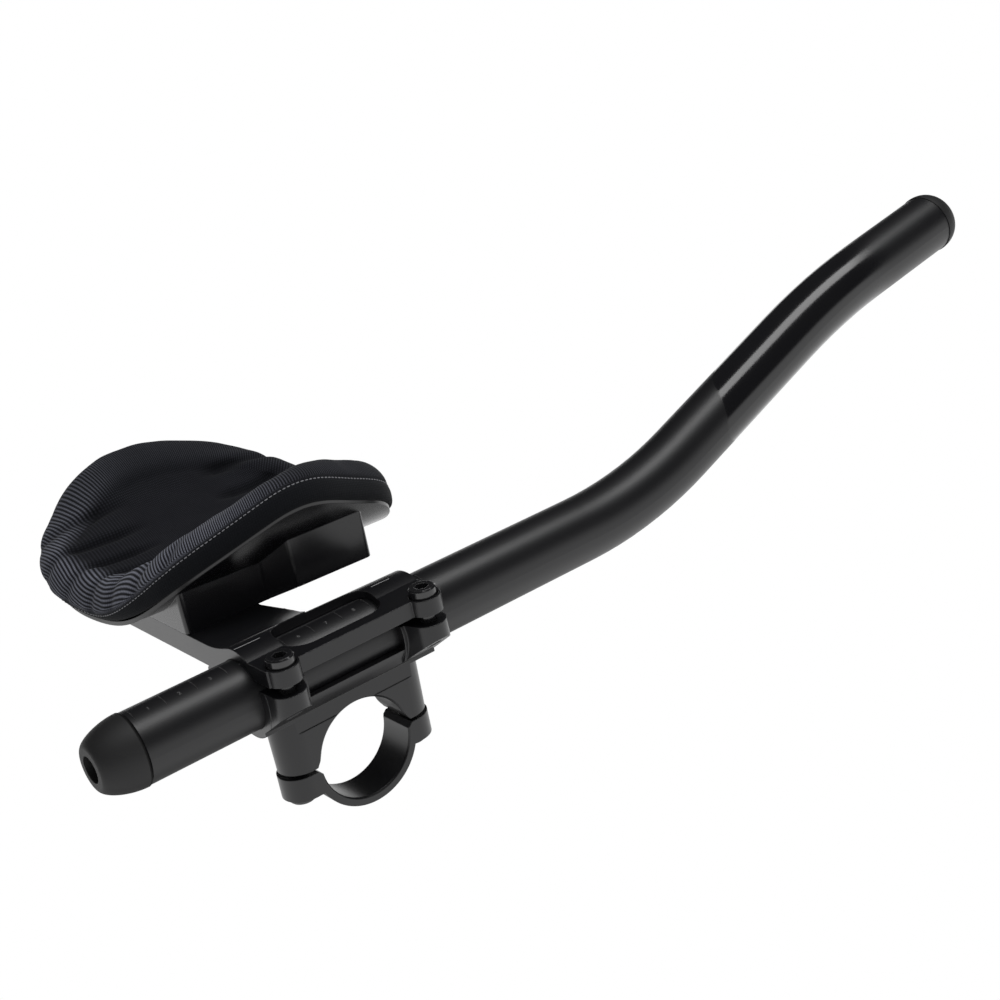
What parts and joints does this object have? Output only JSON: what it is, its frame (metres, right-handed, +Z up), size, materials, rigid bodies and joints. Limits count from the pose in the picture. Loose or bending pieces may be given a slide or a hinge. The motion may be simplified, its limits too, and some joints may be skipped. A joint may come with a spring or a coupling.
{
  "type": "aero handlebar extension",
  "caption": "Left-hand aero extension: bent tube in a two-piece handlebar clamp, with a padded armrest cup on the clamp cap's outboard wing.",
  "frame": {"origin": "centre of the handlebar clamp's bore", "axes": "+X along the handlebar towards the middle of the bicycle, +Y forwards, +Z up"},
  "size_m": [0.1345, 0.3829, 0.1132],
  "materials": {
    "anodised_tube": "satin black anodised",
    "anodised_clamp": "satin black anodised",
    "black_steel": "glossy black coated steel",
    "end_rubber": "matte black rubber",
    "cup_plastic": "fine-grained black moulding",
    "pad_fabric": "dark grey ribbed knit over foam",
    "tape_fabric": "black hook-and-loop tape"
  },
  "bodies": {
    "bracket": {"clamp_body": "anodised_clamp", "handlebar_band": "anodised_clamp", "tube_cap": "anodised_clamp", "cap_bolt_rear": "black_steel", "cap_bolt_front": "black_steel", "band_bolt_rear": "black_steel", "band_bolt_front": "black_steel", "armrest_cup": "cup_plastic", "armrest_pad": "pad_fabric", "hook_tape_rear_inboard": "tape_fabric", "hook_tape_rear_outboard": "tape_fabric", "hook_tape_front_inboard": "tape_fabric", "hook_tape_front_outboard": "tape_fabric", "armrest_screw_inboard": "black_steel", "armrest_screw_outboard": "black_steel", "armrest_washer_inboard": "black_steel", "armrest_washer_outboard": "black_steel"},
    "extension": {"extension_tube": "anodised_tube", "rear_end_plug": "end_rubber", "front_end_cap": "end_rubber"}
  },
  "joints": [
    {"name": "extension_slide", "type": "slide", "parent": "bracket", "child": "extension", "axis": [0, 1, 0], "range_m": [-0.05, 0.03]}
  ]
}
